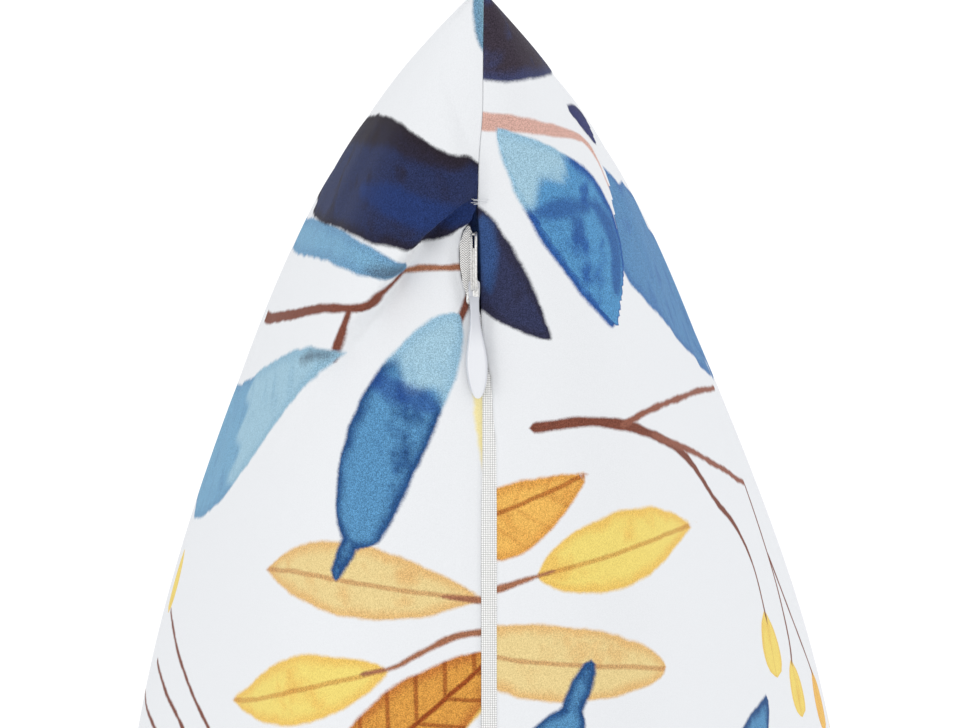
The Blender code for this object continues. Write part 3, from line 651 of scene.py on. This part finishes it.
def make_cover(material):
    """The filled cover as one closed mesh, with its cut places and panel kept for the print."""
    x_lines = 1 - grid_lines(TIP_RIM, TIP_STRETCHES)[::-1] / CORNER_REACH
    y_lines = grid_lines(ZIP_RIM, ZIP_STRETCHES) / CORNER_REACH - 1
    x_lines[[0, -1]] = y_lines[[0, -1]] = (-1, 1)
    x, y = np.meshgrid(x_lines, y_lines, indexing="ij")
    columns, rows = len(x_lines) - 1, len(y_lines) - 1
    top, under = (Panel(x, y, face) for face in FACES)
    moves = filled_moves()
    for panel in (top, under):
        slack = 0
        if moves:
            carry_x, carry_y = spread_weights(x_lines), spread_weights(y_lines)
            slack = np.einsum("ia,abk,jb->ijk", carry_x, moves[panel.face], carry_y)
            away = smoothstep(*SIM_TIP_REACH, np.hypot(panel.s, panel.v))
            slack *= mixed(SIM_AT_TIP, 1, away)[..., None]
        shape_panel(panel, slack)

    i, j, inward = rim_walk(columns, rows)
    floors = groove_floor(top, under, i, j, inward)
    vertices = np.concatenate([top.places.reshape(-1, 3), under.places.reshape(-1, 3), *floors])
    vertices[:, 2] += SEAM_HEIGHT

    count, around = x.size, len(i)
    quads = grid_quads(columns, rows)
    faces = [quads, quads[:, ::-1] + count]
    at_rim = i * (rows + 1) + j
    floor = 2 * count + np.arange(around)
    rings = [at_rim, floor, floor + around, count + at_rim]
    for ring, after in zip(rings, rings[1:]):
        faces.append(np.stack([ring, after, np.roll(after, -1), np.roll(ring, -1)], axis=-1))
    cover = new_object("cover", vertices, np.concatenate(faces), material)

    cut = [panel.cut_places().reshape(-1, 3) for panel in (top, under)]
    under_mark = np.array([0, 0, 1])
    rim = cut[0][at_rim]
    cloth = np.concatenate([cut[0], cut[1] + under_mark, rim, rim + under_mark])
    keep(cover, "cloth", cloth)
    paint_print(cover, cloth)
    return cover


def leaf_colours(ink, along, aside):
    """Body and shade colours with their strengths, for shares along a leaf and gaps beside it."""
    inks = ink if isinstance(ink, tuple) else (ink, ink, 1)
    tide = inks[2] + TIDE_DEPTH * np.cos(aside * 2 * math.pi / TIDE_LENGTH)
    share = smoothstep(tide - TIDE_WIDTH, tide + TIDE_WIDTH, along)[:, None]
    rows = []
    for name in inks[:2]:
        body, shade, pooling, veins = INKS[name]
        rows.append((np.array([*srgb(*body), pooling]), np.array([*srgb(*shade), veins])))
    return [mixed(first, second, share) for first, second in zip(*rows)]


def points_near(cloth, face, line, reach):
    """Numbers of a panel's points that lie near a line."""
    low, high = line.min(axis=0) - reach, line.max(axis=0) + reach
    near = (cloth[:, 2] > 0.5) == (face == "under")
    return np.flatnonzero(near & np.all((cloth[:, :2] > low) & (cloth[:, :2] < high), axis=1))


def paint_leaf(layer, cloth, face, leaf):
    """Adds a leaf to its layer: distance inside its edge, place in it, and its two colours."""
    ink, base, tip, bend, widths, (swell, point) = leaf
    run = np.subtract(tip, base)
    length = np.hypot(*run)
    left = np.array([-run[1], run[0]]) / length
    line = bent_line(base, np.add(base, tip) / 2 + left * bend * 2, tip)
    line = np.concatenate([line[::LEAF_STEP], [tip]])
    nth = points_near(cloth, face, line, max(widths) + abs(bend) + LEAF_MARGIN)
    share, gap, _ = nearest_on(line, cloth[nth, 0], cloth[nth, 1])
    fullest = swell / (swell + point)
    profile = (share / fullest) ** swell * ((1 - share) / (1 - fullest)) ** point
    inside = np.where(gap > 0, *widths) * profile - np.abs(gap)
    over = inside > layer["shape"][nth, 0]
    nth = nth[over]
    layer["shape"][nth] = np.stack([inside, share * length, gap], axis=-1)[over]
    layer["ink"][nth], layer["shade"][nth] = leaf_colours(ink, share[over], gap[over])


def paint_twig(paint, cloth, face, twig):
    """Adds a twig to its set: offset from its middle, half width there and colour."""
    number, line, widths, colour = twig
    line = smooth_line(line, LINE_SAMPLES)
    nth = points_near(cloth, face, line, TWIG_MARGIN)
    u, v = cloth[nth, 0], cloth[nth, 1]
    share, gap, side = nearest_on(line, u, v)
    reach = mixed(*TWIG_REACH, smoothstep(*TWIG_COARSE, np.hypot(u, v)))
    beyond = np.sqrt(np.maximum(gap**2 - side**2, 0))
    width = mixed(*widths, share) - np.maximum(np.abs(gap) - reach, 0) * TWIG_FALL - beyond
    twigs = paint[TWIG_SETS[number]]
    closer = np.abs(gap) < np.abs(twigs["shape"][nth, 0])
    nth = nth[closer]
    twigs["shape"][nth] = np.stack([side, width, 0 * side], axis=-1)[closer]
    twigs["ink"][nth] = (*srgb(*TWIG_COLOURS[colour]), 1)


def sprig(foot, turn, size, family):
    """A sprig's leaves, each with its layer, and its twig, turned and sized."""
    angle = math.radians(turn)
    cosine, sine = math.cos(angle), math.sin(angle)
    turned = np.array([(cosine, sine), (-sine, cosine)]) * size
    stem = [foot + np.array(place) @ turned for place in SPRIG_STEM]
    line = smooth_line(stem, LINE_SAMPLES)
    leaves = []
    for n, (share, lean, length, width) in enumerate(SPRIG_LEAVES):
        at = round(share * (len(line) - 1))
        way = line[min(at + 1, len(line) - 1)] - line[max(at - 1, 0)]
        heading = math.atan2(way[1], way[0]) + math.radians(lean)
        tip = line[at] + np.array([math.cos(heading), math.sin(heading)]) * length * size
        layer, ink = FAMILIES[family][n % len(FAMILIES[family])]
        bend, width = math.copysign(SPRIG_BEND, -lean), width * size
        leaves.append((layer, (ink, line[at], tip, bend, (width, width), SPRIG_POWERS)))
    return leaves, (0, stem, SPRIG_TWIG, "bark")


def paint_print(cover, cloth):
    """Keeps the whole print on the cover's points, as one set of values for each layer."""
    count = len(cloth)
    paint = {name: {"shape": np.full((count, 3), -LEAF_MARGIN)} for name in LAYERS}
    for name in TWIG_SETS:
        paint[name] = {"shape": np.full((count, 3), (TWIG_OFF, -TWIG_OFF, TWIG_OFF))}
    for name, layer in paint.items():
        layer["ink"] = np.zeros((count, 4))
        if name in LAYERS:
            layer["shade"] = np.zeros((count, 4))
    for (face, name), leaves in LEAVES.items():
        for leaf in leaves:
            paint_leaf(paint[name], cloth, face, leaf)
    for face in FACES:
        for twig in TWIGS[face]:
            paint_twig(paint, cloth, face, twig)
        for row in SPRIGS[face]:
            leaves, twig = sprig(*row)
            paint_twig(paint, cloth, face, twig)
            for name, leaf in leaves:
                paint_leaf(paint[name], cloth, face, leaf)
    for name, layer in paint.items():
        for part, values in layer.items():
            keep(cover, name + "_" + part, values)


def edge_places(s, out, z):
    """Points of the zip edge's own frame: s along it, out in front of it, z up."""
    at_x = 1 - s / CORNER_REACH
    rise = (CORNER_REACH - SIDE_REACH) * SIDE_POWER * np.abs(at_x) ** (SIDE_POWER - 1)
    slope = np.copysign(rise / CORNER_REACH, at_x)
    length = np.hypot(1, slope)
    x = at_x * CORNER_REACH - slope / length * out
    y = -side_reach(at_x) - out / length
    return np.stack([x, y, z + SEAM_HEIGHT], axis=-1)


def tube_faces(rings, sides, start=0):
    """Faces of a closed tube of rings, with its two ends."""
    number = start + np.arange(rings * sides).reshape(rings, sides)
    after = np.roll(number, -1, axis=1)
    quads = np.stack([number[:-1], number[1:], after[1:], after[:-1]], axis=-1).reshape(-1, 4)
    return [*quads, number[0][::-1], number[-1]]


def rod(rows, sides=20, squareness=2.5, samples=5, upwards=(0, 0, 1)):
    """Rings of places of a rod in the zip edge's frame, smoothed through a table's rows."""
    rows = smooth_line(rows, samples)
    path, across, deep = rows[:, :3], rows[:, 3:4], rows[:, 4:5]
    outwards = unit(np.cross(upwards, unit(np.gradient(path, axis=0))))
    angle = 2 * math.pi * np.arange(sides) / sides
    waves = (np.cos(angle), np.sin(angle))
    wide, thick = (np.copysign(np.abs(wave) ** (2 / squareness), wave) for wave in waves)
    places = path[:, None] + outwards[:, None] * (thick * deep)[..., None]
    return places + np.array(upwards) * (wide * across)[..., None]


def rods_object(name, rods, material):
    """One object of several rods."""
    vertices, faces = [], []
    for places in rods:
        faces += tube_faces(*places.shape[:2], sum(len(points) for points in vertices))
        vertices.append(edge_places(*places.reshape(-1, 3).T))
    return new_object(name, np.concatenate(vertices), faces, material, 50)


def zip_ribbon(material):
    """The woven tape: a plain weave down the opening, and a chevron twill beside the slider."""
    first, last = TAPE[0][0], TAPE[-1][0]
    s = np.linspace(first, last, round((last - first) / TAPE_STEP))[:, None]
    top, under, recess = (column_at(TAPE, TAPE_COLUMNS, name, s) for name in TAPE_COLUMNS[1:])
    across = np.linspace(1, -1, TAPE_CELLS + 1)[None]
    half = (top - under) / 2
    z = (top + under) / 2 + half * across
    plain = smoothstep(*CHEVRON_END, s)
    turn = math.pi / WEAVE_PITCH
    weave = (2 * np.abs(np.cos(turn * s) * np.cos(turn * across * half)) - 1) * plain
    out = -recess - TAPE_CROWN * across**2 + WEAVE_RELIEF * weave
    back = -recess - TAPE_THICKNESS
    out = np.concatenate([out, back, back], axis=1)
    z = np.concatenate([z, under, top], axis=1)
    threads = np.stack([s + 0 * z, z, plain + 0 * z], axis=-1)
    places = edge_places(threads[..., 0], out, z).reshape(-1, 3)
    ribbon = new_object("zip_ribbon", places, tube_faces(*out.shape), material, 60)
    keep(ribbon, "threads", threads)
    return ribbon


def hardware_rod(rows, **shape):
    rows = [(HARDWARE_S + s, out, SLIDER_Z + z, across, deep) for s, out, z, across, deep in rows]
    return rod(rows, **shape)


def bridge_rod(z, across, deep, first, last, sink):
    """Part of the slider's arched bridge, from one foot to the other."""
    rows = []
    for angle in np.linspace(math.pi * first, math.pi * last, BRIDGE_STEPS):
        cosine, sine = math.cos(angle), max(math.sin(angle), 0)
        along = 1 + math.copysign(abs(cosine) ** BRIDGE_POWER, cosine)
        out = BRIDGE_FOOT + sine**BRIDGE_POWER * (BRIDGE_OUT - BRIDGE_FOOT - sink)
        rows.append((-along * BRIDGE_LENGTH / 2, out, z, across, deep))
    return hardware_rod(rows, sides=12, squareness=2.6, samples=2)


def zip_slider(material):
    """The slider: its body, its tail, its lug, and the bridge of two bars with a web between."""
    parts = [hardware_rod(SLIDER_BODY), hardware_rod(SLIDER_TAIL), hardware_rod(SLIDER_LUG)]
    return rods_object("slider", parts + [bridge_rod(*row) for row in BRIDGE_ROWS], material)


def zip_pull(material):
    """The enamelled teardrop tab, with a raised rim round its face."""
    places = hardware_rod(PULL, sides=40, squareness=2.7, samples=6)
    s, out, z = np.moveaxis(places - (HARDWARE_S, 0, 0), -1, 0)
    start, end, height = PULL_RIM
    aside = np.abs(z - z.mean(axis=1, keepdims=True))
    share = aside / aside.max(axis=1, keepdims=True)
    front = out > out.mean(axis=1, keepdims=True)
    ring = np.exp(-(((share - RIM_PLACE) / RIM_WIDTH) ** 2)) * smoothstep(start, start + 2, s)
    ring *= 1 - smoothstep(end - 1, end, s)
    places[..., 1] += np.where(front, ring * height, 0)
    tab = rods_object("pull_tab", [places], material)
    # Painted shade: the stem, the bevel outside the rim, and the back and sides are greyer, and the lit
    # front of the drop is lightest
    drop = smoothstep(*PULL_PAINTED_SHADE, s)
    painted_light = np.where(front, drop * (1 - smoothstep(RIM_PLACE, RIM_OUTSIDE, share) * 0.7), 0.25 * drop)
    keep(tab, "painted_light", np.stack([painted_light] * 3, axis=-1))
    return tab


def bar_tack(material):
    """The stitches over the end of the zip opening."""
    parts = []
    for s, start, end, lean, bulge in TACK_THREADS:
        t = np.linspace(0, 1, 9)
        out = TACK_OUT + bulge * np.sin(math.pi * t)
        half = np.full_like(t, TACK_HALF)
        rows = np.stack([s + lean * t, out, mixed(start, end, t), half, half], axis=-1)
        parts.append(rod(rows, sides=8, squareness=2, samples=3, upwards=(1, 0, 0)))
    return rods_object("bar_tack", parts, material)


class Nodes:
    """Builds the nodes of a material or the world; a value is a number, a colour or a socket."""

    def __init__(self, owner, shader="Principled BSDF"):
        self.owner = owner
        self.owner.use_nodes = True
        self.tree = self.owner.node_tree
        self.shader = self.tree.nodes[shader]

    def set(self, node, values):
        """Gives values to a node's inputs, by their names or numbers."""
        for key, value in values.items():
            if isinstance(value, bpy.types.NodeSocket):
                self.tree.links.new(value, node.inputs[key])
            else:
                node.inputs[key].default_value = (*value, 1) if isinstance(value, tuple) else value

    def new(self, kind, values, **settings):
        """The outputs of a new node."""
        node = self.tree.nodes.new("ShaderNode" + kind)
        for name, value in settings.items():
            setattr(node, name, value)
        self.set(node, values)
        return node.outputs

    def math(self, operation, *values):
        return self.new("Math", dict(enumerate(values)), operation=operation)[0]

    def sum(self, first, second):
        return self.math("ADD", first, second)

    def times(self, first, *others):
        for other in others:
            first = self.math("MULTIPLY", first, other)
        return first

    def span(self, *values):
        """A value eased between a start and an end, from 0 to 1 or from low to high."""
        return self.new("MapRange", dict(enumerate(values)), interpolation_type="SMOOTHSTEP")[0]

    def mix(self, share, first, second, blend="MIX"):
        """A blend of two colours, by the sockets that a mix of colours uses."""
        values = {0: share, 6: first, 7: second}
        return self.new("Mix", values, data_type="RGBA", blend_type=blend)[2]

    def noise(self, place, scale, detail=2, roughness=0.5):
        values = {"Vector": place, "Scale": scale, "Detail": detail, "Roughness": roughness}
        return self.new("TexNoise", values)[0]

    def attribute(self, name):
        return self.new("Attribute", {}, attribute_name=name)

    def split(self, name):
        """The three numbers of a vector that the mesh keeps."""
        return self.new("SeparateXYZ", {0: self.attribute(name)["Vector"]})

    def place(self):
        """The surface's place on the object, in metres."""
        return self.new("TexCoord", {})["Object"]

    def surface(self, colour, roughness, relief, distance, strength, **others):
        """The finished material, with a bump of the relief; others are inputs such as Coat_Weight."""
        bump = self.new("Bump", {"Height": relief, "Distance": distance, "Strength": strength})[0]
        values = {"Base Color": colour, "Roughness": roughness, "Normal": bump}
        self.set(self.shader, values | {name.replace("_", " "): value for name, value in others.items()})
        return self.owner


def with_twigs(nodes, under, name, ragged):
    """Colour with one set of twigs over it."""
    offset, width, _ = nodes.split(name + "_shape")
    ink = nodes.attribute(name + "_ink")["Color"]
    inside = nodes.math("SUBTRACT", width, nodes.math("ABSOLUTE", offset))
    inside = nodes.sum(inside, nodes.times(ragged, 0.6))
    return nodes.mix(nodes.span(inside, *TWIG_EDGE), under, ink)


def with_leaves(nodes, under, name, ragged, wash, grain):
    """Colour with one layer of leaves over it, and where they are: washes, pooled edges, veins."""
    inside, along, aside = nodes.split(name + "_shape")
    ink, shade = nodes.attribute(name + "_ink"), nodes.attribute(name + "_shade")
    pooled = nodes.span(nodes.sum(inside, nodes.times(ragged, 2.5)), *POOL_EDGE)
    patches = nodes.span(wash, 0.5, 0.72)
    strength = nodes.times(nodes.math("MAXIMUM", pooled, patches), ink["Alpha"])
    aside = nodes.math("ABSOLUTE", nodes.sum(aside, nodes.times(ragged, 0.5)))
    midrib = nodes.span(aside, *MIDRIB_EDGE)
    branch = nodes.math("SUBTRACT", along, nodes.times(aside, BRANCH_SLANT))
    branch = nodes.span(nodes.math("PINGPONG", branch, BRANCH_PITCH), *BRANCH_EDGE)
    branch = nodes.times(branch, nodes.span(shade["Alpha"], 0.7, 0.95), BRANCH_STRENGTH)
    veins = nodes.times(nodes.math("MAXIMUM", midrib, branch), shade["Alpha"])
    colour = nodes.mix(nodes.math("MINIMUM", strength, 1), ink["Color"], shade["Color"])
    darker = nodes.mix(1, shade["Color"], srgb(205, 175, 175), "MULTIPLY")
    colour = nodes.mix(veins, colour, darker)
    colour = nodes.mix(nodes.span(grain, 0.35, 0.7, 0, 0.28), colour, WHITE, "SOFT_LIGHT")
    painted = nodes.span(nodes.sum(inside, ragged), *LEAF_EDGE)
    return nodes.mix(painted, under, colour), painted


def with_tints(nodes, under, ragged, painted):
    """Colour with the soft tints over it that run into the painted leaves; two of the tints are painted
    highlights of the velvet's sheen.
    """
    inside, _, _ = nodes.split("tint_shape")
    ink = nodes.attribute("tint_ink")
    share = nodes.span(nodes.sum(inside, nodes.times(ragged, 2)), *TINT_EDGE)
    return nodes.mix(nodes.times(share, ink["Alpha"], painted), under, ink["Color"])


def woven_tape():
    """Off-white woven polyester, with painted shade that greys it between its threads and in the twill's
    grooves.
    """
    nodes = Nodes(bpy.data.materials.new("woven tape"))
    s, z, plain = nodes.split("threads")
    grain = nodes.noise(nodes.place(), 5200, 2, 0.6)
    turn = math.pi / WEAVE_PITCH
    warp, weft = (nodes.math("ABSOLUTE", nodes.math("COSINE", nodes.times(way, turn))) for way in (s, z))
    weave = nodes.times(warp, weft)
    # Painted shade: grey where the threads dip apart, broken up by grain
    basket = nodes.span(nodes.sum(weave, nodes.times(grain, 0.7)), 0.35, 1.05)
    basket = nodes.mix(basket, srgb(190, 190, 189), srgb(252, 252, 251))
    slant = nodes.sum(s, nodes.math("PINGPONG", z, CHEVRON_HALF))
    twill = nodes.math("SINE", nodes.times(slant, 2 * math.pi / CHEVRON_PITCH))
    twill = nodes.sum(twill, nodes.times(grain, 0.8))
    # Painted shade: dark grey lines in the twill's grooves
    chevron = nodes.mix(nodes.span(twill, -0.5, 0.9), srgb(158, 156, 153), srgb(246, 245, 243))
    roughness = nodes.span(grain, 0.2, 0.8, 0.55, 0.8)
    relief = nodes.mix(plain, nodes.span(twill, -1, 1), weave)
    fixed = {"Specular_IOR_Level": 0.35, "Sheen_Weight": 0.15}
    return nodes.surface(nodes.mix(plain, chevron, basket), roughness, relief, 0.00008, 0.7, **fixed)


def slider_metal():
    """Brushed, slightly grained white metal."""
    nodes = Nodes(bpy.data.materials.new("slider metal"))
    grain = nodes.noise(nodes.place(), 2600, 3, 0.65)
    colour = nodes.mix(nodes.span(grain, 0.35, 0.65), srgb(206, 205, 202), srgb(240, 239, 238))
    roughness = nodes.span(grain, 0.3, 0.7, 0.3, 0.45)
    return nodes.surface(colour, roughness, grain, 0.00004, 0.35, Metallic=0.75)


def pull_enamel():
    """Glossy white enamel with the faint unevenness of a dipped coat, and painted shade that greys the
    stem and the sides.
    """
    nodes = Nodes(bpy.data.materials.new("pull enamel"))
    wave = nodes.noise(nodes.place(), 260, 2, 0.5)
    painted_light = nodes.sum(nodes.split("painted_light")[0], nodes.times(wave, 0.1))
    # Painted shade: grey where shade falls on the stem and sides, light on the front of the drop
    colour = nodes.mix(painted_light, srgb(192, 195, 203), srgb(228, 230, 235))
    roughness = nodes.span(wave, 0.3, 0.7, 0.1, 0.18)
    return nodes.surface(colour, roughness, wave, 0.00015, 0.25, Coat_Weight=0.5, Coat_Roughness=0.05)


def sewing_thread():
    nodes = Nodes(bpy.data.materials.new("sewing thread"))
    grain = nodes.noise(nodes.place(), 9000, 2, 0.6)
    colour = nodes.mix(grain, srgb(205, 208, 214), srgb(244, 245, 247))
    return nodes.surface(colour, nodes.span(grain, 0.2, 0.8, 0.5, 0.7), grain, 0.00003, 0.6)


def floor_paper():
    """Pale seamless paper that glows enough to come out as white as in the picture."""
    nodes = Nodes(bpy.data.materials.new("floor paper"))
    grain = nodes.noise(nodes.place(), 90, 3, 0.6)
    colour = nodes.mix(grain, (0.02, 0.02, 0.02), (0.04, 0.04, 0.04))
    glow = {"Emission Color": WHITE, "Emission Strength": FLOOR_GLOW}
    nodes.set(nodes.shader, {"Base Color": colour, "Roughness": 0.9} | glow)
    return nodes.owner


def printed_pile():
    """Short velvet pile with the watercolour print on it."""
    nodes = Nodes(bpy.data.materials.new("printed pile"))
    cloth, place = nodes.attribute("cloth")["Vector"], nodes.place()
    ragged = nodes.math("SUBTRACT", nodes.noise(place, 1400), 0.5)
    wobble = nodes.math("SUBTRACT", nodes.noise(cloth, 0.16, 3), 0.5)
    ragged = nodes.sum(nodes.times(ragged, 0.36), nodes.times(wobble, 1.4))
    wash = nodes.noise(cloth, 0.11, 3, 0.55)
    grain = nodes.noise(place, 4300, 3, 0.75)
    colour, _ = with_leaves(nodes, WHITE_CLOTH, "warm", ragged, wash, grain)
    for name in TWIG_SETS:
        colour = with_twigs(nodes, colour, name, ragged)
    colour, cool = with_leaves(nodes, colour, "cool", ragged, wash, grain)
    colour, over = with_leaves(nodes, colour, "over", ragged, wash, grain)
    colour = with_tints(nodes, colour, ragged, nodes.math("MAXIMUM", cool, over))
    speckle = nodes.span(grain, 0.32, 0.68, 0.62, 1.5)
    speckle = nodes.new("CombineColor", {0: speckle, 1: speckle, 2: speckle})[0]
    share = nodes.span(nodes.new("RGBToBW", {0: colour})[0], 0.85, 0.15, 0.05, 1)
    colour = nodes.mix(share, colour, nodes.mix(1, colour, speckle, "MULTIPLY"))
    roughness = nodes.span(grain, 0.2, 0.8, 0.78, 0.95)
    fixed = {"Specular_IOR_Level": 0.12, "Sheen_Weight": 0.04, "Sheen_Roughness": 0.35}
    fixed["Sheen_Tint"] = (0.85, 0.92, 1)
    return nodes.surface(colour, roughness, grain, 0.0001, 0.5, **fixed)


def make_camera():
    camera = linked("camera", bpy.data.cameras.new("camera"))
    x = CORNER_REACH - (IMAGE_HEIGHT / 2 - TIP_ROW) / PIXELS_PER_MM
    z = SEAM_HEIGHT - (IMAGE_WIDTH / 2 - SEAM_COLUMN) / PIXELS_PER_MM
    turn = Matrix(((0, 1, 0), (0, 0, -1), (-1, 0, 0)))
    place = Vector((x, -CORNER_REACH - VIEW_DISTANCE, z)) * MM
    camera.matrix_world = Matrix.Translation(place) @ turn.to_4x4()
    camera.data.sensor_width = SENSOR
    camera.data.lens = SENSOR * VIEW_DISTANCE * PIXELS_PER_MM / IMAGE_WIDTH
    camera.data.clip_start = 0.1
    bpy.context.scene.camera = camera


def make_studio():
    world = bpy.data.worlds.new("studio")
    bpy.context.scene.world = world
    nodes = Nodes(world, "Background")
    seen = nodes.new("LightPath", {})["Is Camera Ray"]
    strength = nodes.new("MapRange", {"Value": seen, "To Min": SKY_LIGHT, "To Max": 1})[0]
    nodes.set(nodes.shader, {"Color": WHITE, "Strength": strength})
    view = bpy.context.scene.view_settings
    view.view_transform, view.exposure = "Standard", EXPOSURE
    corners = np.array([(-1, -1, 0), (1, -1, 0), (1, 1, 0), (-1, 1, 0)]) * FLOOR_SIZE / 2
    new_object("floor", corners, [(0, 1, 2, 3)], floor_paper())
    lamp = linked("key", bpy.data.lights.new("key", "AREA"))
    lamp.data.size, lamp.data.energy = KEY_SIZE, KEY_POWER
    lamp.location = KEY_PLACE
    lamp.rotation_euler = (Vector(KEY_AIM) - Vector(KEY_PLACE)).to_track_quat("-Z", "Y").to_euler()


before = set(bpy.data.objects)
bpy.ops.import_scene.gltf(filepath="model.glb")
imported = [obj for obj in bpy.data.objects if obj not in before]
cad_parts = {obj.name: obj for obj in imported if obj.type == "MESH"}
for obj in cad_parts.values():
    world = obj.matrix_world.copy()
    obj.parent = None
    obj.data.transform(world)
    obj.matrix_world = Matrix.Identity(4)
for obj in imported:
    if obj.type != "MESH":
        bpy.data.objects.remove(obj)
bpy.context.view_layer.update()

make_camera()
cover = make_cover(printed_pile())
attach(cover, "root")
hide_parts("cushion")

for piece, node, slot in (
    (zip_ribbon(woven_tape()), "zip_tape", "woven_tape"),
    (zip_slider(slider_metal()), "zip_slider", "slider_metal"),
    (zip_pull(pull_enamel()), "zip_pull", "pull_enamel"),
):
    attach(piece, "root")
    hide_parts(node)
tack = bar_tack(sewing_thread())
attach(tack, "root")
make_studio()
